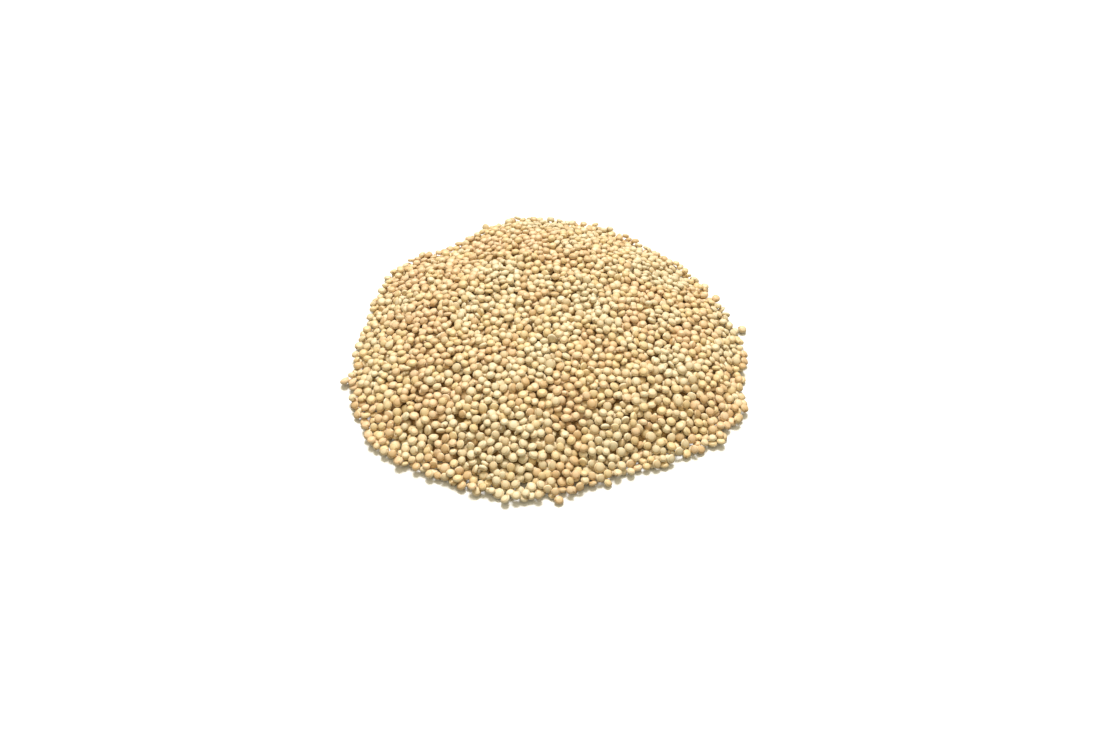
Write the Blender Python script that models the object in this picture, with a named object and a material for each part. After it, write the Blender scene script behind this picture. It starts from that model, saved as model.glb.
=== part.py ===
"""A low heap of dry white quinoa, as it lies where it was poured.

Lengths are in metres and +Z is up. The origin is on the table, under the middle of the heap's box.
+X runs to the right and +Y to the back. The heap is one solid: a mound with a bump for each grain of
its surface, and loose grains at true size fused round its rim and on its top.
"""

import math
import random

import bmesh
import bpy
from mathutils import Euler, Matrix, Vector, noise
from mathutils.geometry import delaunay_2d_cdt

SEED = 2718

# A grain is a round, thick lens
GRAIN_WIDTH = 0.0020
GRAIN_THICKNESS = 0.0012
GRAIN_SIZE_SPREAD = 0.12
GRAIN_THICKNESS_SPREAD = 0.10
GRAIN_SIDES = 6
GRAIN_RINGS = 3

# The mound, measured to the outside of its outermost grains
HALF_WIDTH = 0.0425
HALF_DEPTH = 0.0435
HEAP_HEIGHT = 0.0104
RIM_THICKNESS = 0.0014
SLOPE_POWER = 2.9
WAVE_HEIGHT = 0.0011
WAVE_LENGTH = 0.0170

# Where the rim leaves its ellipse: degrees round from +X, spread in degrees, and how far it stands out
RIM_STEPS = 720
RIM_SWELLS = (
    (44, 27, -0.0027),
    (100, 10, 0.0018),
    (125, 12, -0.0029),
    (148, 14, 0.0010),
    (203, 8, 0.0010),
    (221, 22, 0.0044),
    (258, 14, 0.0014),
    (290, 14, -0.0016),
    (326, 13, 0.0040),
    (352, 7, 0.0011),
)

# The bumps of the surface: one a grain, on a lattice that is pushed about
BUMP_PITCH = 0.0025
BUMP_SHIFT = 0.26
BUMP_CLEARANCE = 0.5
LATTICE_REACH = 0.0540
MERGE_DISTANCE = 0.0000001
BUMP_RISE = 0.00010
BUMP_RISE_SPREAD = 0.00030
GAP_DEPTH = 0.00075
CORE_INSET = 0.0013
CORE_EDGE_SCATTER = 0.0004

# The loose grains of true size
RIM_GRAIN_PITCH = 0.0027
RIM_GRAIN_INSET = 0.0011
RIM_GRAIN_SCATTER = 0.0006
RIM_GRAIN_LIFT = 0.00012
RIM_GRAIN_TILT = 22
TOP_GRAINS = 18
TOP_GRAIN_REACH = 0.80
TOP_GRAIN_LIFT = 0.00030
TOP_GRAIN_TILT = 40

GRAIN_COLOR = (0.60, 0.44, 0.23, 1.0)
GRAIN_ROUGHNESS = 0.6
SHARP_ANGLE = 50


def clear_scene():
    """Removes whatever the scene holds."""
    for obj in list(bpy.data.objects):
        bpy.data.objects.remove(obj, do_unlink=True)


def new_collection(name):
    """A collection of this name, in the scene."""
    collection = bpy.data.collections.new(name)
    bpy.context.scene.collection.children.link(collection)
    return collection


def grain_material():
    """The warm cream colour of the grains, dull and with no metal in it."""
    material = bpy.data.materials.new("quinoa_grain")
    material.use_nodes = True
    shader = material.node_tree.nodes["Principled BSDF"]
    shader.inputs["Base Color"].default_value = GRAIN_COLOR
    shader.inputs["Roughness"].default_value = GRAIN_ROUGHNESS
    shader.inputs["Metallic"].default_value = 0.0
    return material


def rim_radius(angle):
    """How far the outermost grains reach from the middle, in the direction of this angle."""
    across = math.cos(angle) / HALF_WIDTH
    along = math.sin(angle) / HALF_DEPTH
    radius = 1 / math.hypot(across, along)
    for centre, spread, swell in RIM_SWELLS:
        turn = (math.degrees(angle) - centre + 180) % 360 - 180
        radius += swell * math.exp(-((turn / spread) ** 2))
    return radius


def on_ray(angle, radius):
    """The point of the table at this angle and radius."""
    return Vector((radius * math.cos(angle), radius * math.sin(angle), 0))


def rim_share(point):
    """0 in the middle of the heap and 1 at the edge of its core."""
    edge = rim_radius(math.atan2(point.y, point.x)) - CORE_INSET
    return min(point.xy.length / edge, 1)


def height_at(point):
    """The height of the mound, without its bumps: a dome that thins to a layer of grains at the rim."""
    inside = 1 - rim_share(point) ** SLOPE_POWER
    wave = WAVE_HEIGHT * noise.noise(point / WAVE_LENGTH)
    return RIM_THICKNESS + inside * (HEAP_HEIGHT - RIM_THICKNESS + wave)


def even_rim_angles(pitch):
    """Angles that step round the rim by about this distance."""
    turns = [math.tau * step / RIM_STEPS for step in range(RIM_STEPS)]
    ring = [on_ray(turn, rim_radius(turn)) for turn in turns]
    lengths = [(ring[step] - ring[step - 1]).length for step in range(RIM_STEPS)]
    count = round(sum(lengths) / pitch)
    wanted = sum(lengths) / count
    angles, walked = [], 0
    for step, length in enumerate(lengths):
        walked += length
        if walked >= wanted * len(angles) and len(angles) < count:
            angles.append(turns[step])
    return angles


def core_edge(rng):
    """Points round the edge of the core, each in or out a little."""
    ring = []
    for angle in even_rim_angles(BUMP_PITCH):
        scatter = rng.uniform(-1, 1) * CORE_EDGE_SCATTER
        ring.append(on_ray(angle, rim_radius(angle) - CORE_INSET + scatter))
    return ring


def bump_centres(rng):
    """Points of a triangular lattice inside the core, each pushed a little to one side."""
    row_step = BUMP_PITCH * math.sqrt(3) / 2
    reach = math.ceil(LATTICE_REACH / row_step)
    push = BUMP_PITCH * BUMP_SHIFT
    centres = []
    for row in range(-reach, reach + 1):
        for column in range(-reach, reach + 1):
            x = (column + row % 2 / 2) * BUMP_PITCH + rng.uniform(-push, push)
            y = row * row_step + rng.uniform(-push, push)
            point = Vector((x, y, 0))
            edge = rim_radius(math.atan2(y, x)) - CORE_INSET
            if point.length < edge - BUMP_PITCH * BUMP_CLEARANCE:
                centres.append(point)
    return centres


def surface_net(bm, rng):
    """Triangles from grain to grain over the mound, each grain lifted to its height."""
    ring = core_edge(rng)
    points = ring + bump_centres(rng)
    ring_edges = [(i, (i + 1) % len(ring)) for i in range(len(ring))]
    flat = [point.xy for point in points]
    flat, _, triangles, *_ = delaunay_2d_cdt(flat, ring_edges, [], 1, MERGE_DISTANCE)
    verts = []
    for index, (x, y) in enumerate(flat):
        point = Vector((x, y, 0))
        point.z = height_at(point)
        if index >= len(ring):
            point.z += BUMP_RISE + rng.uniform(-1, 1) * BUMP_RISE_SPREAD
        verts.append(bm.verts.new(point))
    for triangle in triangles:
        bm.faces.new([verts[index] for index in triangle])


def sink_gaps(bm):
    """Makes each grain a six-sided bump: a low point in each triangle, joined across its edges."""
    bm.normal_update()
    between_grains = [edge for edge in bm.edges if not edge.is_boundary]
    bmesh.ops.poke(bm, faces=bm.faces[:], offset=-GAP_DEPTH)
    bmesh.ops.rotate_edges(bm, edges=between_grains, use_ccw=False)


def close_underneath(bm):
    """Brings the edge of the surface down to the table and closes the flat underside."""
    edges = [edge for edge in bm.edges if edge.is_boundary]
    lowered = bmesh.ops.extrude_edge_only(bm, edges=edges)["geom"]
    for vert in [item for item in lowered if isinstance(item, bmesh.types.BMVert)]:
        vert.co.z = 0
    bottom = [item for item in lowered if isinstance(item, bmesh.types.BMEdge) and item.is_boundary]
    underside = bmesh.ops.contextual_create(bm, geom=bottom)["faces"]
    bmesh.ops.triangulate(bm, faces=underside, ngon_method="BEAUTY")
    bmesh.ops.recalc_face_normals(bm, faces=bm.faces[:])


def object_from(bm, name, collection, material):
    """A finished mesh object of this name."""
    mesh = bpy.data.meshes.new(name)
    bm.to_mesh(mesh)
    bm.free()
    mesh.materials.append(material)
    obj = bpy.data.objects.new(name, mesh)
    collection.objects.link(obj)
    return obj


def make_mound(collection, material, rng):
    """The closed mound with its bumps."""
    bm = bmesh.new()
    surface_net(bm, rng)
    sink_gaps(bm)
    close_underneath(bm)
    return object_from(bm, "quinoa_heap", collection, material)


def make_grain(name, place, tilt, collection, material, rng):
    """One loose grain: a lens with flattened sides, turned and tilted by chance up to this angle."""
    size = 1 + rng.uniform(-1, 1) * GRAIN_SIZE_SPREAD
    width = GRAIN_WIDTH * size
    thickness = GRAIN_THICKNESS * size * (1 + rng.uniform(-1, 1) * GRAIN_THICKNESS_SPREAD)
    lean = math.radians(tilt)
    turn = Euler((rng.uniform(-lean, lean), rng.uniform(-lean, lean), rng.uniform(0, math.tau)))
    stretch = Matrix.Diagonal((width, width, thickness, 1))
    widest_ring = math.pi / 2 - math.pi / GRAIN_RINGS
    radius = 0.5 / math.cos(widest_ring)
    bm = bmesh.new()
    bmesh.ops.create_uvsphere(bm, u_segments=GRAIN_SIDES, v_segments=GRAIN_RINGS, radius=radius)
    bmesh.ops.transform(bm, matrix=turn.to_matrix().to_4x4() @ stretch, verts=bm.verts[:])
    lowest = min(vert.co.z for vert in bm.verts)
    bmesh.ops.translate(bm, vec=place - Vector((0, 0, lowest)), verts=bm.verts[:])
    return object_from(bm, name, collection, material)


def rim_grain_places(rng):
    """Where the undersides of the loose grains lie, round the rim on the table."""
    for angle in even_rim_angles(RIM_GRAIN_PITCH):
        angle += rng.uniform(-1, 1) * RIM_GRAIN_SCATTER / HALF_WIDTH
        scatter = rng.uniform(-1, 1) * RIM_GRAIN_SCATTER
        spot = on_ray(angle, rim_radius(angle) - RIM_GRAIN_INSET + scatter)
        yield spot + Vector((0, 0, RIM_GRAIN_LIFT))


def top_grain_places(rng):
    """Where the undersides of the loose grains lie, spread evenly over the mound."""
    golden_turn = math.pi * (3 - math.sqrt(5))
    for index in range(TOP_GRAINS):
        angle = (index + rng.random() / 2) * golden_turn
        share = math.sqrt((index + 0.5) / TOP_GRAINS) * TOP_GRAIN_REACH
        spot = on_ray(angle, share * (rim_radius(angle) - CORE_INSET))
        spot.z = height_at(spot) - TOP_GRAIN_LIFT
        yield spot


def make_loose_grains(collection, material, rng):
    """All the loose grains, each its own closed mesh."""
    for index, place in enumerate(rim_grain_places(rng)):
        make_grain(f"rim_grain_{index}", place, RIM_GRAIN_TILT, collection, material, rng)
    for index, place in enumerate(top_grain_places(rng)):
        make_grain(f"top_grain_{index}", place, TOP_GRAIN_TILT, collection, material, rng)


def fuse(heap, grains):
    """Joins the loose grains to the heap, and removes them."""
    union = heap.modifiers.new("loose_grains", "BOOLEAN")
    union.operation = "UNION"
    union.operand_type = "COLLECTION"
    union.collection = grains
    union.solver = "EXACT"
    bpy.context.view_layer.update()
    graph = bpy.context.evaluated_depsgraph_get()
    fused = bpy.data.meshes.new_from_object(heap.evaluated_get(graph))
    heap.modifiers.clear()
    heap.data = fused
    for grain in list(grains.objects):
        bpy.data.objects.remove(grain, do_unlink=True)
    bpy.data.collections.remove(grains)


def islands(bm):
    """The groups of faces that hang together."""
    left = set(bm.faces)
    while left:
        group, edge_of_group = set(), [left.pop()]
        while edge_of_group:
            face = edge_of_group.pop()
            group.add(face)
            near = {other for edge in face.edges for other in edge.link_faces} & left
            left -= near
            edge_of_group.extend(near)
        yield group


def tidy_and_centre(heap):
    """Keeps the one outer skin, and puts the origin on the table under the middle of the heap's box."""
    bm = bmesh.new()
    bm.from_mesh(heap.data)
    bmesh.ops.triangulate(bm, faces=bm.faces[:], ngon_method="BEAUTY")
    groups = sorted(islands(bm), key=len)
    scraps = [face for group in groups[:-1] for face in group]
    bmesh.ops.delete(bm, geom=scraps, context="FACES")
    for axis in (0, 1):
        ends = [vert.co[axis] for vert in bm.verts]
        shift = Vector((0, 0, 0))
        shift[axis] = -(min(ends) + max(ends)) / 2
        bmesh.ops.translate(bm, vec=shift, verts=bm.verts[:])
    bm.to_mesh(heap.data)
    bm.free()


def main():
    """Builds the heap."""
    clear_scene()
    rng = random.Random(SEED)
    material = grain_material()
    grains = new_collection("loose_grains")
    heap = make_mound(new_collection("heap_of_quinoa"), material, rng)
    make_loose_grains(grains, material, rng)
    fuse(heap, grains)
    tidy_and_centre(heap)
    heap.data.shade_smooth()
    heap.data.set_sharp_from_angle(angle=math.radians(SHARP_ANGLE))


main()
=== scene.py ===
"""Heap of dry white quinoa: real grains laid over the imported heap, a pale table and soft light.

Lengths are in metres, in the heap's own frame: +Z up, +Y to the back, the origin on the table.
"""

from __future__ import annotations

import logging
import math
from dataclasses import dataclass, field
from enum import Enum
from typing import Any, Mapping, Sequence, Union

import bmesh
import bpy
import numpy as np
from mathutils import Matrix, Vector
from mathutils.bvhtree import BVHTree


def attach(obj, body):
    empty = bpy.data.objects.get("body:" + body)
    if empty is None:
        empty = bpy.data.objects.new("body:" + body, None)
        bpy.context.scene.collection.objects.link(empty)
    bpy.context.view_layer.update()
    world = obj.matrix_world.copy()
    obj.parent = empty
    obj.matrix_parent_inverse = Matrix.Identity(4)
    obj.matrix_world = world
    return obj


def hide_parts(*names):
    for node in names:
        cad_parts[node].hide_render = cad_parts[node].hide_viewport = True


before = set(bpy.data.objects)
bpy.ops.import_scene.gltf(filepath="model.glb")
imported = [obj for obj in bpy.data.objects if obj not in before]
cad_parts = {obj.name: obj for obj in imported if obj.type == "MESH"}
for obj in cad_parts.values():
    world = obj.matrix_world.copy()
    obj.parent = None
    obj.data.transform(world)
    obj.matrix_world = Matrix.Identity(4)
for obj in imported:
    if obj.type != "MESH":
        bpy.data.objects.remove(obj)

LOG = logging.getLogger("quinoa")
HEAP_NODE = "quinoa_heap"
BODY = "root"
SEED = 12
POLE_GAP = 1e-5
Color = tuple[float, float, float]
Band = tuple[float, float]


@dataclass(frozen=True)
class Signal:
    """One output of a shader node. Python's operators on it add Math nodes."""

    graph: "ShaderGraph"
    socket: bpy.types.NodeSocket

    def _maths(self, operation: str, first: "Value", second: "Value") -> "Signal":
        """Adds one Math node.

        Args:
            operation: the node's operation.
            first: its first value.
            second: its second value.

        Returns:
            The node's output.
        """
        return self.graph.node("ShaderNodeMath", {"operation": operation}, {0: first, 1: second})

    def __add__(self, other: "Value") -> "Signal":
        """self + other."""
        return self._maths("ADD", self, other)

    def __radd__(self, other: "Value") -> "Signal":
        """other + self."""
        return self._maths("ADD", other, self)

    def __sub__(self, other: "Value") -> "Signal":
        """self - other."""
        return self._maths("SUBTRACT", self, other)

    def __rsub__(self, other: "Value") -> "Signal":
        """other - self."""
        return self._maths("SUBTRACT", other, self)

    def __mul__(self, other: "Value") -> "Signal":
        """self * other."""
        return self._maths("MULTIPLY", self, other)

    def __rmul__(self, other: "Value") -> "Signal":
        """other * self."""
        return self._maths("MULTIPLY", other, self)


Value = Union[Signal, float, Sequence[float]]


@dataclass
class ShaderGraph:
    """The nodes of one material or world."""

    tree: bpy.types.NodeTree

    def node(
        self,
        kind: str,
        settings: Mapping[str, Any] | None = None,
        inputs: Mapping[int | str, Value] | None = None,
        output: int | str = 0,
    ) -> Signal:
        """Adds a node.

        Args:
            kind: the node's type.
            settings: its properties, set first.
            inputs: a value or a link for each named or numbered input.
            output: which output to hand back.

        Returns:
            That output.
        """
        made = self.tree.nodes.new(kind)
        for name, value in (settings or {}).items():
            setattr(made, name, value)
        for key, value in (inputs or {}).items():
            if isinstance(value, Signal):
                self.tree.links.new(value.socket, made.inputs[key])
            else:
                made.inputs[key].default_value = value
        return Signal(self, made.outputs[output])

    def mix(self, factor: Value, first: Value, second: Value) -> Signal:
        """Blends two colours.

        Args:
            factor: 0 gives the first and 1 the second.
            first: a colour, with alpha.
            second: a colour, with alpha.

        Returns:
            The blended colour.
        """
        inputs = {0: factor, 6: first, 7: second}
        return self.node("ShaderNodeMix", {"data_type": "RGBA"}, inputs, output=2)

    def noise(self, scale: float, detail: float, place: Signal) -> Signal:
        """Even noise about 0.5.

        Args:
            scale: how many features a metre holds.
            detail: how many finer octaves it has.
            place: the coordinates it is read at.

        Returns:
            The noise's value.
        """
        inputs = {"Vector": place, "Scale": scale, "Detail": detail}
        return self.node("ShaderNodeTexNoise", {}, inputs)

    def ramp(self, value: Signal, low: float, high: float) -> Signal:
        """0 up to low, 1 from high on, and smooth between.

        Args:
            value: the number to spread.
            low: where the rise starts.
            high: where it ends.

        Returns:
            The spread number.
        """
        settings = {"interpolation_type": "SMOOTHSTEP"}
        return self.node("ShaderNodeMapRange", settings, {0: value, 1: low, 2: high})


def opaque(color: Color) -> tuple[float, float, float, float]:
    """The colour with full alpha."""
    return (*color, 1.0)


def revolved(outline: Sequence[Band], steps: int) -> bmesh.types.BMesh:
    """Spins an outline round +Z into a closed skin, with its faces in the same order each run.

    Args:
        outline: the radius and the height of each of its points, from pole to pole.
        steps: how many faces go round.

    Returns:
        The skin, with its poles merged and its faces outward.
    """
    bm = bmesh.new()
    chain = [bm.verts.new((radius, 0, height)) for radius, height in outline]
    edges = [bm.edges.new(pair) for pair in zip(chain, chain[1:])]
    bmesh.ops.spin(
        bm, geom=chain + edges, cent=(0, 0, 0), axis=(0, 0, 1), angle=math.tau,
        steps=steps, use_merge=True,
    )
    bmesh.ops.remove_doubles(bm, verts=bm.verts[:], dist=POLE_GAP)
    bmesh.ops.recalc_face_normals(bm, faces=bm.faces[:])
    bm.verts.index_update()
    ranked = sorted(bm.faces, key=lambda face: sorted(vert.index for vert in face.verts))
    for rank, face in enumerate(ranked):
        face.index = rank
    bm.faces.sort()
    return bm


@dataclass(frozen=True)
class Mark:
    """A mark on a grain's skin: where it fades in, how ragged its edge is, and how strong it is."""

    start: float
    full: float
    raggedness: float
    strength: float

    def cover(self, graph: ShaderGraph, place: Signal, mottle: Signal) -> Signal:
        """How much of the skin the mark covers.

        Args:
            graph: the material's nodes.
            place: how far a point is towards the mark.
            mottle: the skin's own unevenness.

        Returns:
            0 clear of the mark and 1 in it.
        """
        return graph.ramp(place + mottle * self.raggedness, self.start, self.full)


@dataclass(frozen=True)
class GrainFinish:
    """The dry skin of one kind of grain: a pale body, a germ round its edge, a ring of painted
    shade inside the germ, and a darker tip.
    """

    name: str
    light: Color
    deep: Color
    germ: Color
    # Painted shade: the colour of a darker, warmer ring on each grain's shoulder, just inside the
    # germ.
    groove_shade: Color = (0.46, 0.26, 0.08)
    tip: Color = (0.34, 0.17, 0.05)
    tone_part: float = 0.8
    mottle_part: float = 0.4
    tone_shift: float = 0.1
    germ_mark: Mark = Mark(0.60, 0.76, 0.10, 0.55)
    # Where the painted shade ring lies on the grain's shoulder, and how strong it is.
    groove_shade_mark: Mark = Mark(0.42, 0.56, 0.12, 0.38)
    tip_mark: Mark = Mark(0.55, 1.05, 0.30, 0.75)
    least_roughness: float = 0.37
    roughness_spread: float = 0.22
    specular: float = 0.38
    mottle_scale: float = 1500.0
    mottle_detail: float = 3.0
    mottle_height: float = 1.5
    pit_scale: float = 6500.0
    pit_detail: float = 2.0
    pit_depth: float = 0.000018
    bump_strength: float = 0.5

    @staticmethod
    def _read(graph: ShaderGraph, name: str) -> Signal:
        """One of the numbers that the grains' points carry."""
        return graph.node("ShaderNodeAttribute", {"attribute_name": name}, output="Fac")

    def _skin(self, graph: ShaderGraph, mottle: Signal) -> Signal:
        """Lays the marks over the body's colour.

        Args:
            graph: the material's nodes.
            mottle: the skin's unevenness.

        Returns:
            The colour of the skin.
        """
        tone = self._read(graph, GrainMesh.TONE)
        share = self._read(graph, GrainMesh.SHARE)
        blend = tone * self.tone_part + mottle * self.mottle_part - self.tone_shift
        skin = graph.mix(blend, opaque(self.light), opaque(self.deep))
        germ = self.germ_mark.cover(graph, share, mottle)
        skin = graph.mix(germ * self.germ_mark.strength, skin, opaque(self.germ))
        # Painted shade: the ring on the shoulder, inside the germ, is darkened and warmed.
        groove_shade = self.groove_shade_mark.cover(graph, share, mottle) * (1 - germ)
        skin = graph.mix(groove_shade * self.groove_shade_mark.strength, skin, opaque(self.groove_shade))
        tip = self.tip_mark.cover(graph, self._read(graph, GrainMesh.TIP), mottle)
        return graph.mix(tip * self.tip_mark.strength, skin, opaque(self.tip))

    def material(self) -> bpy.types.Material:
        """Builds the material.

        Returns:
            The material, which reads the grains' own attributes.
        """
        made = bpy.data.materials.new(self.name)
        made.use_nodes = True
        graph = ShaderGraph(made.node_tree)
        shader = made.node_tree.nodes["Principled BSDF"]
        place = graph.node("ShaderNodeTexCoord", output="Object")
        mottle = graph.noise(self.mottle_scale, self.mottle_detail, place)
        pits = graph.noise(self.pit_scale, self.pit_detail, place)
        height = pits + mottle * self.mottle_height
        relief = {"Strength": self.bump_strength, "Distance": self.pit_depth, "Height": height}
        changing = {
            "Base Color": self._skin(graph, mottle),
            "Roughness": self.least_roughness + mottle * self.roughness_spread,
            "Normal": graph.node("ShaderNodeBump", {}, relief),
        }
        for name, signal in changing.items():
            graph.tree.links.new(signal.socket, shader.inputs[name])
        shader.inputs["Specular IOR Level"].default_value = self.specular
        return made


@dataclass(frozen=True)
class CoreFinish:
    """The skin of the grains that lie deeper, painted as shade: darker and browner than the grains
    on top, in patches of a lit and a shaded colour.
    """

    # Painted light and shade: the lit and the shaded colour of the deeper grains, both darker than
    # the grains on top.
    lit: Color = (0.62, 0.42, 0.18)
    shaded: Color = (0.38, 0.22, 0.07)
    cell_scale: float = 480.0
    mottle_scale: float = 900.0
    mottle_detail: float = 2.0
    mottle_part: float = 0.3
    shade_band: Band = (0.25, 0.85)
    pit_depth: float = 0.0006
    least_roughness: float = 0.6
    roughness_spread: float = 0.2

    def material(self) -> bpy.types.Material:
        """Builds the material.

        Returns:
            The material.
        """
        made = bpy.data.materials.new("deep_grains")
        made.use_nodes = True
        graph = ShaderGraph(made.node_tree)
        shader = made.node_tree.nodes["Principled BSDF"]
        place = graph.node("ShaderNodeTexCoord", output="Object")
        cells = graph.node("ShaderNodeTexVoronoi", {}, {"Vector": place, "Scale": self.cell_scale})
        mottle = graph.noise(self.mottle_scale, self.mottle_detail, place)
        # Painted shade: patches of the lit and the shaded colour, by cell and mottle; the same
        # pattern also drives the bump.
        shade = graph.ramp(cells + mottle * self.mottle_part, *self.shade_band)
        relief = {"Strength": 1.0, "Distance": self.pit_depth, "Height": shade}
        changing = {
            "Base Color": graph.mix(shade, opaque(self.lit), opaque(self.shaded)),
            "Roughness": self.least_roughness + mottle * self.roughness_spread,
            "Normal": graph.node("ShaderNodeBump", {"invert": True}, relief),
        }
        for name, signal in changing.items():
            graph.tree.links.new(signal.socket, shader.inputs[name])
        return made


class GrainKind(Enum):
    """The kinds of grain: each one's share of the heap, and its light, deep and germ colours."""

    PALE = (0.20, (0.80, 0.70, 0.48), (0.75, 0.62, 0.39), (0.86, 0.78, 0.57))
    CREAM = (0.28, (0.80, 0.67, 0.44), (0.75, 0.58, 0.34), (0.86, 0.75, 0.53))
    GOLD = (0.22, (0.80, 0.64, 0.37), (0.74, 0.55, 0.28), (0.86, 0.73, 0.46))
    TAN = (0.14, (0.76, 0.56, 0.33), (0.64, 0.43, 0.21), (0.81, 0.66, 0.43))
    ROSE = (0.16, (0.82, 0.62, 0.40), (0.76, 0.53, 0.30), (0.87, 0.72, 0.50))

    @property
    def finish(self) -> GrainFinish:
        """The kind's finish."""
        return GrainFinish(f"{self.name.lower()}_grain", *self.value[1:])

    @property
    def share(self) -> float:
        """How much of the heap is of this kind."""
        return self.value[0]


@dataclass
class HeapForm:
    """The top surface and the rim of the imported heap, read from its node."""

    node: bpy.types.Object
    cell: float = 0.00025
    margin: float = 0.005
    blur: float = 0.0011
    least_share: float = 0.05
    slope_reach: int = 6
    rim_steps: int = 720
    rim_reach: int = 3
    low: np.ndarray = field(init=False)
    top: np.ndarray = field(init=False)
    rim: np.ndarray = field(init=False)

    def __post_init__(self) -> None:
        """Reads the node's mesh."""
        mesh = self.node.data
        points = np.empty(len(mesh.vertices) * 3, np.float32)
        mesh.vertices.foreach_get("co", points)
        points = points.reshape(-1, 3).astype(float)
        self.low = points.min(0)[:2] - self.margin
        high = points.max(0)[:2] + self.margin
        columns, rows = np.ceil((high - self.low) / self.cell).astype(int)
        self.top = self._cast(rows, columns, points[:, 2].max() * 2)
        self.top = self._evened(self.top)
        self.rim = self._read_rim(points)

    def _cast(self, rows: int, columns: int, height: float) -> np.ndarray:
        """Drops a ray on each cell of the grid.

        Args:
            rows: how many cells the grid has along Y.
            columns: how many it has along X.
            height: where the rays start.

        Returns:
            The height of the heap in each cell, 0 outside it.
        """
        mesh = self.node.data
        faces = [tuple(face.vertices) for face in mesh.polygons]
        tree = BVHTree.FromPolygons([vert.co for vert in mesh.vertices], faces)
        down = Vector((0, 0, -1))
        top = np.zeros((rows, columns))
        for row in range(rows):
            y = self.low[1] + (row + 0.5) * self.cell
            for column in range(columns):
                x = self.low[0] + (column + 0.5) * self.cell
                hit = tree.ray_cast(Vector((x, y, height)), down)[0]
                if hit is not None:
                    top[row, column] = hit.z
        return top

    def smoothed(self, layer: np.ndarray, width: float) -> np.ndarray:
        """Blurs a layer of the grid.

        Args:
            layer: a number for each cell.
            width: the blur's spread.

        Returns:
            The blurred layer.
        """
        reach = math.ceil(3 * width / self.cell)
        weights = np.exp(-0.5 * (np.arange(-reach, reach + 1) * self.cell / width) ** 2)
        weights /= weights.sum()
        for axis in (0, 1):
            layer = np.apply_along_axis(np.convolve, axis, layer, weights, mode="same")
        return layer

    def _evened(self, heights: np.ndarray) -> np.ndarray:
        """Evens out the bumps of single grains, and leaves the table outside the heap at 0.

        Args:
            heights: the heights on the grid.

        Returns:
            The evened heights.
        """
        inside = (heights > 0).astype(float)
        share = np.maximum(self.smoothed(inside, self.blur), self.least_share)
        return np.where(inside > 0, self.smoothed(heights, self.blur) / share, 0)

    def relief(self, rng: np.random.Generator, width: float, depth: float) -> np.ndarray:
        """Chance hollows and swells, a few grains wide.

        Args:
            rng: where chance comes from.
            width: how wide they are.
            depth: how deep they are, as a standard deviation.

        Returns:
            The rise in each cell.
        """
        layer = self.smoothed(rng.normal(size=self.top.shape), width)
        return layer / layer.std() * depth

    def _read_rim(self, points: np.ndarray) -> np.ndarray:
        """How far the heap reaches in each direction.

        Args:
            points: the node's vertices.

        Returns:
            The reach in evenly stepped directions, from +X round.
        """
        turn = np.arctan2(points[:, 1], points[:, 0]) % math.tau
        step = (turn / math.tau * self.rim_steps).astype(int) % self.rim_steps
        reach = np.zeros(self.rim_steps)
        np.maximum.at(reach, step, np.hypot(points[:, 0], points[:, 1]))
        shifts = range(-self.rim_reach, self.rim_reach + 1)
        reach = np.max([np.roll(reach, shift) for shift in shifts], axis=0)
        return np.mean([np.roll(reach, shift) for shift in shifts], axis=0)

    def rim_radius(self, turn: np.ndarray) -> np.ndarray:
        """How far the heap reaches in these directions."""
        step = np.arange(self.rim_steps) / self.rim_steps * math.tau
        return np.interp(turn % math.tau, step, self.rim, period=math.tau)

    def within(self, spots: np.ndarray) -> np.ndarray:
        """How far inside the rim these spots lie."""
        turn = np.arctan2(spots[..., 1], spots[..., 0])
        return self.rim_radius(turn) - np.hypot(spots[..., 0], spots[..., 1])

    def cells(self, spots: np.ndarray) -> tuple[np.ndarray, np.ndarray]:
        """The rows and columns of the cells that hold these spots."""
        at = ((spots - self.low) / self.cell).astype(int)
        return at[..., 1], at[..., 0]

    def centres(self) -> np.ndarray:
        """The middle of every cell of the grid."""
        rows, columns = self.top.shape
        x = self.low[0] + (np.arange(columns) + 0.5) * self.cell
        y = self.low[1] + (np.arange(rows) + 0.5) * self.cell
        return np.stack(np.meshgrid(x, y), axis=-1)

    def height_at(self, spots: np.ndarray) -> np.ndarray:
        """The evened height of the heap at these spots."""
        return self.top[self.cells(spots)]

    def normal_at(self, spot: np.ndarray) -> np.ndarray:
        """The upward normal of the evened heap at a spot.

        Args:
            spot: x and y.

        Returns:
            A unit vector.
        """
        reach = self.slope_reach * self.cell
        ahead = spot + np.array([[reach, 0], [0, reach]])
        behind = spot - np.array([[reach, 0], [0, reach]])
        slope = (self.height_at(ahead) - self.height_at(behind)) / (2 * reach)
        normal = np.array([-slope[0], -slope[1], 1.0])
        return normal / np.linalg.norm(normal)


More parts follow.
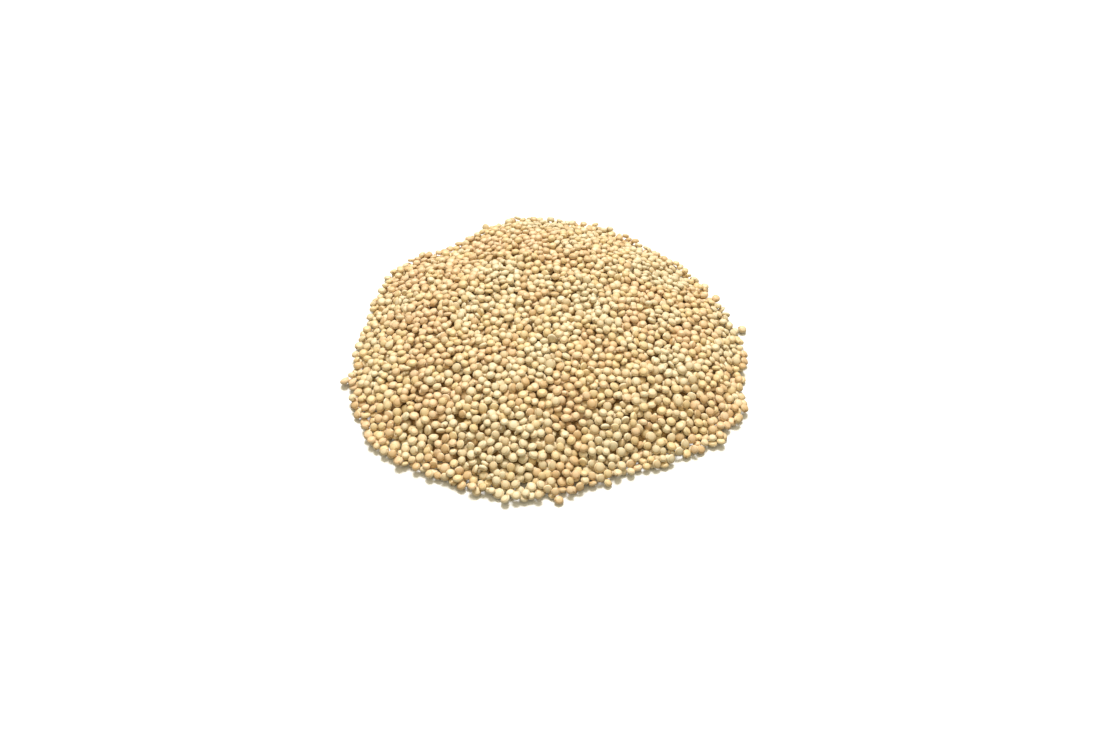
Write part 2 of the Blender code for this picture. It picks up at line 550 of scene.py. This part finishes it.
@dataclass
class Core:
    """What lies among the grains: a low mound with a flat underside, some way inside the heap."""

    form: HeapForm
    finish: CoreFinish = CoreFinish()
    shell: float = 0.0023
    lift: float = 0.0007
    thinnest: float = 0.0004
    rings: int = 26
    steps: int = 120
    tried_radii: int = 200
    turn_digits: int = 4

    def top_at(self, spots: np.ndarray) -> np.ndarray:
        """The core's top at these spots, below 0 where it has none."""
        inside = self.form.within(spots) > 2 * self.shell
        return np.where(inside, self.form.height_at(spots) - self.shell, -1.0)

    def _edge(self, turn: float) -> float:
        """How far the core reaches in this direction.

        Args:
            turn: the direction, from +X round.

        Returns:
            The farthest radius at which it is still as thick as its edge.
        """
        way = np.array([math.cos(turn), math.sin(turn)])
        radii = np.linspace(0.0, float(self.form.rim.max()), self.tried_radii)
        thick = self.top_at(radii[:, None] * way) > self.lift + self.thinnest
        return float(radii[thick].max())

    def build(self) -> bpy.types.Object:
        """Turns a profile round the middle and drapes it over the heap's form.

        Returns:
            The core's object.
        """
        upper = [(ring / self.rings, 1.0) for ring in range(self.rings + 1)]
        lower = [(radius, 0.0) for radius, _ in reversed(upper)]
        bm = revolved(upper + lower, self.steps)
        edge = {}
        for vert in bm.verts:
            share = vert.co.xy.length
            turn = round(math.atan2(vert.co.y, vert.co.x), self.turn_digits)
            if turn not in edge:
                edge[turn] = self._edge(turn)
            spot = np.array([math.cos(turn), math.sin(turn)]) * share * edge[turn]
            on_top = vert.co.z > 0.5
            height = self.lift
            if on_top:
                height = max(float(self.top_at(spot)), self.lift + self.thinnest)
            vert.co = Vector((spot[0], spot[1], height))
        # Its material is painted shade: the dark brown that shows in the gaps between the grains.
        piece = object_of(bm, "heap_core", self.finish.material())
        piece.data.shade_smooth()
        return piece


@dataclass
class GrainShape:
    """One grain, 1 from the middle to the edge: a thick lens with a small tip on its +X side."""

    sides: int = 10
    thickness: float = 0.50
    variants: int = 8
    profile: tuple[Band, ...] = ((0.0, 0.96), (0.58, 0.89), (0.90, 0.54), (1.0, 0.0))
    tip_out: float = 0.10
    tip_width: float = 0.30
    tip_sizes: Band = (0.4, 1.2)
    notch_in: float = 0.05
    notch_turn: float = 0.62
    notch_width: float = 0.28
    notch_sizes: Band = (0.5, 1.3)
    unevenness: float = 0.05
    lobes: tuple[int, int, int] = (2, 3, 4)
    bulge: float = 0.12
    sag: float = 0.06

    def mesh(self) -> bmesh.types.BMesh:
        """Spins the profile into a closed grain, 1 from the middle to the edge.

        Returns:
            The grain, with no variation.
        """
        upper = [(radius, height * self.thickness) for radius, height in self.profile]
        lower = [(radius, -height) for radius, height in reversed(upper[:-1])]
        return revolved(upper + lower, self.sides)

    def varied(self, points: np.ndarray, rng: np.random.Generator) -> np.ndarray:
        """Gives the plain grain a tip, a notch beside it, and a shape of its own.

        Args:
            points: the plain grain's points.
            rng: where chance comes from.

        Returns:
            The moved points.
        """
        turn = np.arctan2(points[:, 1], points[:, 0])
        radius = np.hypot(points[:, 0], points[:, 1])
        tip = self.tip_out * rng.uniform(*self.tip_sizes)
        tip = tip * np.exp(-((turn / self.tip_width) ** 2))
        notch = self.notch_in * rng.uniform(*self.notch_sizes)
        notch = notch * np.exp(-(((turn - self.notch_turn) / self.notch_width) ** 2))
        swell = 1 + radius**2 * (tip - notch)
        for lobes, phase in zip(self.lobes, rng.uniform(0, math.tau, len(self.lobes))):
            swell += self.unevenness / lobes * radius**2 * np.cos(lobes * turn + phase)
        moved = points * np.stack([swell, swell, np.ones_like(swell)], axis=1)
        bulge = 1 + rng.uniform(-self.bulge, self.bulge) * np.sign(points[:, 2])
        sag = points[:, :2] @ rng.uniform(-self.sag, self.sag, 2)
        moved[:, 2] = moved[:, 2] * bulge + sag * self.thickness
        return moved


@dataclass
class Grains:
    """Where each grain lies, how it is turned and how big it is."""

    centre: list[np.ndarray] = field(default_factory=list)
    turn: list[np.ndarray] = field(default_factory=list)
    size: list[np.ndarray] = field(default_factory=list)


@dataclass
class GrainBed:
    """Lays grains one by one, each down to the lowest place near where it falls."""

    form: HeapForm
    shape: GrainShape
    rng: np.random.Generator
    half_width: float = 0.00096
    size_spread: float = 0.09
    size_limit: float = 0.2
    breadths: Band = (0.90, 1.0)
    depths: Band = (0.88, 1.16)
    lean: float = 0.32
    steep_share: float = 0.10
    steep_lean: float = 1.0
    upright_lean: float = 0.3
    least_rise: float = 0.12
    spots_tried: int = 9
    roll_steps: tuple[float, ...] = (0.0008, 0.0005, 0.0003, 0.0002, 0.00012)
    gather: float = 0.12
    clearance: float = 1.04
    table_gap: float = 0.0001
    batch: int = 150
    ground: np.ndarray = field(init=False)
    window: np.ndarray = field(init=False)
    grains: Grains = field(default_factory=Grains)

    def __post_init__(self) -> None:
        """Starts with the bare table."""
        self.ground = np.full_like(self.form.top, self.table_gap)
        widest = self.half_width * (1 + 3 * self.size_spread) * self.clearance
        reach = math.ceil(widest / self.form.cell) + 1
        steps = np.arange(-reach, reach + 1)
        self.window = np.stack(np.meshgrid(steps, steps), axis=-1).reshape(-1, 2)

    def _new_size(self) -> np.ndarray:
        """Draws a new grain's size.

        Returns:
            Its half length, half breadth and half thickness.
        """
        drawn = np.clip(self.rng.normal(0, self.size_spread), -self.size_limit, self.size_limit)
        breadth = self.rng.uniform(*self.breadths)
        depth = self.shape.thickness * self.rng.uniform(*self.depths)
        return self.half_width * (1 + drawn) * np.array([1.0, breadth, depth])

    def _new_turn(self, up: np.ndarray) -> np.ndarray:
        """How a new grain lies.

        Args:
            up: the direction that a grain lying flat there faces.

        Returns:
            The matrix whose columns are the grain's own axes.
        """
        spread = self.steep_lean if self.rng.random() < self.steep_share else self.lean
        facing = up + self.rng.normal(0, spread, 3) * np.array([1, 1, self.upright_lean])
        facing[2] = max(facing[2], self.least_rise)
        facing /= np.linalg.norm(facing)
        side = np.cross(self.rng.normal(size=3), facing)
        side /= np.linalg.norm(side)
        return np.stack([side, np.cross(facing, side), facing], axis=1)

    def _faces(
        self, spots: np.ndarray, matrix: np.ndarray
    ) -> tuple[tuple[np.ndarray, np.ndarray], np.ndarray, np.ndarray]:
        """The lower and upper face of a grain over the cells round each spot.

        Args:
            spots: where its middle may be, x and y.
            matrix: the matrix of the grain's ellipsoid.

        Returns:
            The cells' rows and columns, the lower face and the upper face relative to the grain's
            middle, with no number where a cell is clear of it.
        """
        rows, columns = self.form.cells(spots)
        rows = rows[:, None] + self.window[:, 1]
        columns = columns[:, None] + self.window[:, 0]
        x = self.form.low[0] + (columns + 0.5) * self.form.cell - spots[:, :1]
        y = self.form.low[1] + (rows + 0.5) * self.form.cell - spots[:, 1:]
        slant = matrix[0, 2] * x + matrix[1, 2] * y
        flat = matrix[0, 0] * x * x + 2 * matrix[0, 1] * x * y + matrix[1, 1] * y * y - 1
        inside = slant * slant - matrix[2, 2] * flat
        half = np.sqrt(np.where(inside > 0, inside, np.nan))
        return (rows, columns), (-slant - half) / matrix[2, 2], (-slant + half) / matrix[2, 2]

    def _resting(self, spots: np.ndarray, matrix: np.ndarray) -> np.ndarray:
        """How high a grain's middle is when it comes down at each spot.

        Args:
            spots: where its middle may be, x and y.
            matrix: the matrix of the grain's ellipsoid.

        Returns:
            The height at each spot.
        """
        cells, lower, _ = self._faces(spots, matrix)
        return np.nanmax(self.ground[cells] - lower, axis=1)

    def drop(self, spot: np.ndarray, ceiling: np.ndarray, edge: float, flat: bool) -> bool:
        """Lets one grain fall and roll to the lowest place near by, and keeps it if it fits.

        Args:
            spot: where it falls, x and y.
            ceiling: how high the heap may reach, on the grid.
            edge: how far inside the rim its middle has to be.
            flat: whether it lies on the table rather than along the slope.

        Returns:
            Whether it was kept.
        """
        size = self._new_size()
        up = np.array([0.0, 0.0, 1.0]) if flat else self.form.normal_at(spot)
        turn = self._new_turn(up)
        axes = turn * (size * self.clearance)
        matrix = np.linalg.inv(axes @ axes.T)
        half_height = math.sqrt(float((axes @ axes.T)[2, 2]))
        pull = self.gather if flat else 0.0
        height = float(self._resting(spot[None], matrix)[0])
        cost = height - pull * float(self.form.within(spot))
        for step in self.roll_steps:
            tried = spot + self.rng.normal(0, step, (self.spots_tried, 2))
            depths = self.form.within(tried)
            tried, depths = tried[depths > edge], depths[depths > edge]
            if not len(tried):
                continue
            heights = self._resting(tried, matrix)
            costs = heights - pull * depths
            best = int(np.argmin(costs))
            if costs[best] < cost:
                spot, height, cost = tried[best], float(heights[best]), costs[best]
        too_high = height + half_height > ceiling[self.form.cells(spot)]
        if self.form.within(spot) < edge or too_high:
            return False
        cells, _, upper = self._faces(spot[None], matrix)
        self.ground[cells] = np.fmax(self.ground[cells], height + upper)
        self.grains.centre.append(np.array([spot[0], spot[1], height]))
        self.grains.turn.append(turn)
        self.grains.size.append(size)
        return True

    def fill(
        self, ceiling: np.ndarray, tries: int, edges: Band, room: float, flat: bool
    ) -> int:
        """Drops grains wherever there is still room under the ceiling.

        Args:
            ceiling: how high the heap may reach, on the grid.
            tries: how many grains are dropped.
            edges: between what limits the least distance of a middle from the rim is drawn.
            room: how deep a place has to be for a grain to be dropped there.
            flat: whether grains lie on the table rather than along the slope.

        Returns:
            How many grains stayed.
        """
        centres = self.form.centres()
        allowed = self.form.within(centres) > edges[0]
        kept = 0
        for _ in range(tries // self.batch):
            open_cells = centres[allowed & (ceiling - self.ground > room)]
            if not len(open_cells):
                break
            for spot in open_cells[self.rng.integers(0, len(open_cells), self.batch)]:
                kept += self.drop(spot, ceiling, self.rng.uniform(*edges), flat)
        return kept

    def add_strays(self, count: int, reach: float) -> int:
        """Drops single grains on the table just outside the rim.

        Args:
            count: how many are dropped.
            reach: how far outside the usual edge they may lie.

        Returns:
            How many stayed.
        """
        kept = 0
        ceiling = np.full_like(self.form.top, 2 * self.half_width)
        for turn in self.rng.uniform(0, math.tau, count):
            radius = self.form.rim_radius(turn) - self.half_width + self.rng.uniform(0, reach)
            spot = np.array([math.cos(turn), math.sin(turn)]) * radius
            kept += self.drop(spot, ceiling, -reach, True)
        return kept


@dataclass
class GrainMesh:
    """Joins the laid grains into one piece for each kind."""

    TONE = "grain_tone"
    SHARE = "grain_share"
    TIP = "grain_tip"
    BAKE_MAP = "OFBake"

    shape: GrainShape
    form: HeapForm
    rng: np.random.Generator
    patch_width: float = 0.0024
    patch_share: float = 0.70
    bake_reach: Band = (0.22, 0.45)
    points: np.ndarray = field(init=False)
    corners: np.ndarray = field(init=False)
    corner_counts: np.ndarray = field(init=False)
    upper: np.ndarray = field(init=False)
    forms: np.ndarray = field(init=False)

    def __post_init__(self) -> None:
        """Reads the plain grain and makes its variants."""
        bm = self.shape.mesh()
        bm.verts.index_update()
        self.points = np.array([vert.co[:] for vert in bm.verts])
        self.corners = np.array([vert.index for face in bm.faces for vert in face.verts])
        self.corner_counts = np.array([len(face.verts) for face in bm.faces])
        upper = np.array([face.calc_center_median().z > 0 for face in bm.faces])
        self.upper = np.repeat(upper, self.corner_counts)
        bm.free()
        variants = range(self.shape.variants)
        self.forms = np.array([self.shape.varied(self.points, self.rng) for _ in variants])

    def _share(self) -> np.ndarray:
        """0 at the middle of a grain's faces and 1 round its edge, for each point."""
        radius = np.hypot(self.points[:, 0], self.points[:, 1])
        return np.arctan2(radius * self.shape.thickness, np.abs(self.points[:, 2])) / (math.pi / 2)

    def _bake_map(self, count: int) -> np.ndarray:
        """A place of its own in the unit square for each face of each grain.

        Args:
            count: how many grains there are.

        Returns:
            The two coordinates of each corner.
        """
        share = self._share()
        turn = np.arctan2(self.points[:, 1], self.points[:, 0])
        disc = np.stack([share * np.cos(turn), share * np.sin(turn)], axis=1)[self.corners]
        side = math.ceil(math.sqrt(count))
        cell = np.stack([np.arange(count) % side, np.arange(count) // side], axis=1)
        # The upper face has the left half of the grain's square, and the lower face the right.
        across = np.where(self.upper, 0.25, 0.75)
        middle = np.stack([across, np.full(len(self.upper), 0.5)], axis=1)
        place = middle + disc * np.array(self.bake_reach)
        return ((cell[:, None, :] + place[None]) / side).reshape(-1, 2)

    def _placed(self, grains: Grains, chosen: np.ndarray) -> np.ndarray:
        """Turns, sizes and places a variant of the plain grain for each chosen grain.

        Args:
            grains: all the laid grains.
            chosen: which of them are placed.

        Returns:
            The points of each, none of them below the table.
        """
        centre = np.array(grains.centre)[chosen]
        turn = np.array(grains.turn)[chosen]
        size = np.array(grains.size)[chosen]
        size[:, 2] /= self.shape.thickness
        local = self.forms[self.rng.integers(0, len(self.forms), len(chosen))] * size[:, None]
        points = np.einsum("gij,gpj->gpi", turn, local) + centre[:, None]
        points[:, :, 2] += np.maximum(-points[:, :, 2].min(axis=1), 0.0)[:, None]
        return points

    def _joined(self, name: str, points: np.ndarray) -> bpy.types.Mesh:
        """Makes one mesh of many grains.

        Args:
            name: the mesh's name.
            points: the points of each grain.

        Returns:
            The mesh.
        """
        count = len(points)
        corners = self.corners[None] + np.arange(count)[:, None] * len(self.points)
        counts = np.tile(self.corner_counts, count)
        mesh = bpy.data.meshes.new(name)
        mesh.vertices.add(count * len(self.points))
        mesh.vertices.foreach_set("co", points.astype(np.float32).ravel())
        mesh.loops.add(corners.size)
        mesh.loops.foreach_set("vertex_index", corners.astype(np.int32).ravel())
        mesh.polygons.add(len(counts))
        mesh.polygons.foreach_set("loop_start", (np.cumsum(counts) - counts).astype(np.int32))
        mesh.update(calc_edges=True)
        mesh.validate()
        mesh.shade_smooth()
        return mesh

    def piece(self, kind: GrainKind, grains: Grains, chosen: np.ndarray) -> bpy.types.Object:
        """Joins the chosen grains.

        Args:
            kind: the kind that the piece shows.
            grains: all the laid grains.
            chosen: which of them are of this kind.

        Returns:
            The piece.
        """
        count = len(chosen)
        mesh = self._joined(f"{kind.name.lower()}_grains", self._placed(grains, chosen))
        x, y = self.points[:, 0], self.points[:, 1]
        tip = np.clip(x * np.exp(-((y / self.shape.tip_width) ** 2)), 0, 1)
        for name, values in (
            (self.TONE, np.repeat(self.rng.random(count), len(self.points))),
            (self.SHARE, np.tile(self._share(), count)),
            (self.TIP, np.tile(tip, count)),
        ):
            layer = mesh.attributes.new(name, "FLOAT", "POINT")
            layer.data.foreach_set("value", values.astype(np.float32))
        bake = mesh.uv_layers.new(name=self.BAKE_MAP)
        bake.data.foreach_set("uv", self._bake_map(count).astype(np.float32).ravel())
        mesh.materials.append(kind.finish.material())
        piece = bpy.data.objects.new(mesh.name, mesh)
        bpy.context.scene.collection.objects.link(piece)
        return piece

    def pieces(self, grains: Grains) -> list[bpy.types.Object]:
        """Shares the grains out among the kinds and joins each.

        Args:
            grains: all the laid grains.

        Returns:
            One piece for each kind.
        """
        kinds = list(GrainKind)
        count = len(grains.centre)
        patches = self.form.relief(self.rng, self.patch_width, 1.0)
        spots = np.array(grains.centre)[:, :2]
        own = self.rng.normal(size=count) * math.sqrt(1 - self.patch_share**2)
        shade = patches[self.form.cells(spots)] * self.patch_share + own
        place = np.argsort(np.argsort(shade)) / count
        limits = np.cumsum([kind.share for kind in kinds])
        drawn = np.searchsorted(limits / limits[-1], place, side="right")
        chosen = [np.flatnonzero(drawn == index) for index in range(len(kinds))]
        return [self.piece(kind, grains, members) for kind, members in zip(kinds, chosen)]


@dataclass
class Studio:
    """The pale table, the soft light and the camera of the photograph.

    The table is white to the camera, and throws less light than that back on the grains.
    """

    elevation: float = math.radians(46.0)
    distance: float = 0.210
    aim: tuple[float, float, float] = (0.0, -0.0101, 0.0)
    photo_width: int = 1100
    focal_pixels: float = 978.0
    sensor: float = 36.0
    table_side: float = 6.0
    table_seen: Color = (0.97, 0.97, 0.97)
    table_bounce: Color = (0.36, 0.36, 0.36)
    key_from: tuple[float, float, float] = (0.0, 0.54, 0.90)
    key_angle: float = math.radians(24)
    key_strength: float = 3.85
    sky_high: float = 0.72
    sky_low: float = 0.14
    sky_full_at: float = 0.9
    sky_color: Color = (1.0, 0.90, 0.63)

    def table(self) -> bpy.types.Object:
        """A wide, plain white table.

        Returns:
            The table's object.
        """
        bm = bmesh.new()
        bmesh.ops.create_grid(bm, x_segments=1, y_segments=1, size=self.table_side / 2)
        made = bpy.data.materials.new("white_table")
        made.use_nodes = True
        graph = ShaderGraph(made.node_tree)
        seen = graph.node("ShaderNodeBsdfDiffuse", {}, {"Color": opaque(self.table_seen)})
        lit = graph.node("ShaderNodeBsdfDiffuse", {}, {"Color": opaque(self.table_bounce)})
        from_camera = graph.node("ShaderNodeLightPath", output="Is Camera Ray")
        both = graph.node("ShaderNodeMixShader", {}, {0: from_camera, 1: lit, 2: seen})
        made.node_tree.nodes.remove(made.node_tree.nodes["Principled BSDF"])
        graph.tree.links.new(both.socket, made.node_tree.nodes["Material Output"].inputs["Surface"])
        return object_of(bm, "table", made)

    def light(self) -> None:
        """A wide, soft light above and behind, and a pale sky that is brighter overhead."""
        lamp = bpy.data.lights.new("key_light", "SUN")
        lamp.angle = self.key_angle
        lamp.energy = self.key_strength
        key = bpy.data.objects.new("key_light", lamp)
        key.rotation_euler = Vector(self.key_from).to_track_quat("Z", "Y").to_euler()
        bpy.context.scene.collection.objects.link(key)
        world = bpy.data.worlds.new("studio")
        world.use_nodes = True
        bpy.context.scene.world = world
        graph = ShaderGraph(world.node_tree)
        output = world.node_tree.nodes["World Output"]
        direction = graph.node("ShaderNodeTexCoord", output="Generated")
        up = graph.node("ShaderNodeSeparateXYZ", {}, {0: direction}, output="Z")
        rise = graph.ramp(up, 0.0, self.sky_full_at)
        strength = rise * (self.sky_high - self.sky_low) + self.sky_low
        glow = {"Color": opaque(self.sky_color), "Strength": strength}
        sky = graph.node("ShaderNodeBackground", {}, glow)
        seen = graph.node("ShaderNodeBackground", {}, {"Color": (1, 1, 1, 1), "Strength": 1.0})
        from_camera = graph.node("ShaderNodeLightPath", output="Is Camera Ray")
        both = graph.node("ShaderNodeMixShader", {}, {0: from_camera, 1: sky, 2: seen})
        graph.tree.links.new(both.socket, output.inputs["Surface"])

    def camera(self) -> None:
        """The camera, at the photograph's angle."""
        lens = bpy.data.cameras.new("camera")
        lens.sensor_width = self.sensor
        lens.lens = self.focal_pixels / self.photo_width * self.sensor
        lens.clip_start = 0.005
        lens.clip_end = 20.0
        holder = bpy.data.objects.new("camera", lens)
        back = Vector((0, -math.cos(self.elevation), math.sin(self.elevation)))
        holder.location = Vector(self.aim) + back * self.distance
        holder.rotation_euler = (math.pi / 2 - self.elevation, 0, 0)
        bpy.context.scene.collection.objects.link(holder)
        bpy.context.scene.camera = holder

    def build(self) -> None:
        """Sets up the table, the light and the camera."""
        self.table()
        self.light()
        self.camera()
        bpy.context.scene.view_settings.view_transform = "Standard"


def object_of(bm: bmesh.types.BMesh, name: str, material: bpy.types.Material) -> bpy.types.Object:
    """Makes an object of a finished bmesh.

    Args:
        bm: the shape, which is used up.
        name: the object's name.
        material: its material.

    Returns:
        The object, in the scene.
    """
    mesh = bpy.data.meshes.new(name)
    bm.to_mesh(mesh)
    bm.free()
    mesh.materials.append(material)
    made = bpy.data.objects.new(name, mesh)
    bpy.context.scene.collection.objects.link(made)
    return made


@dataclass
class QuinoaHeap:
    """The heap as it is seen: a hidden core and some thousands of real grains over and under it."""

    form: HeapForm
    edges: Band = (0.0009, 0.0015)
    foot_layer: float = 0.00175
    foot_room: float = 0.0011
    cover_room: float = 0.0009
    proud: float = 0.00045
    relief_width: float = 0.0013
    relief_depth: float = 0.00022
    rim_cover: float = 0.0023
    foot_tries: int = 6000
    top_tries: int = 12000
    strays: int = 10
    stray_reach: float = 0.00045

    def build(self) -> list[bpy.types.Object]:
        """Lays the foot, sets the core on it, covers it with grains and joins them.

        Returns:
            Every piece of the heap.
        """
        rng = np.random.default_rng(SEED)
        shape = GrainShape()
        bed = GrainBed(self.form, shape, rng)
        core = Core(self.form)
        relief = self.form.relief(rng, self.relief_width, self.relief_depth)
        target = np.maximum(self.form.top + self.proud + relief, self.rim_cover)
        foot = np.full_like(target, self.foot_layer)
        laid = bed.fill(foot, self.foot_tries, self.edges, self.foot_room, flat=True)
        LOG.info("foot: %d grains", laid)
        bed.ground = np.maximum(bed.ground, core.top_at(self.form.centres()))
        laid = bed.fill(target, self.top_tries, self.edges, self.cover_room, flat=False)
        LOG.info("cover: %d grains", laid)
        LOG.info("strays: %d grains", bed.add_strays(self.strays, self.stray_reach))
        joined = GrainMesh(shape, self.form, rng).pieces(bed.grains)
        return [core.build(), *joined]


def main() -> None:
    """Builds the heap and the studio, and reports each piece."""
    logging.basicConfig(level=logging.INFO, format="%(name)s %(message)s")
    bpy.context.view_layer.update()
    heap = QuinoaHeap(HeapForm(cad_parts[HEAP_NODE]))
    for piece in heap.build():
        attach(piece, BODY)
        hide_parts(HEAP_NODE)
        LOG.info("%s: %d faces", piece.name, len(piece.data.polygons))
    Studio().build()


if __name__ == "__main__":
    main()
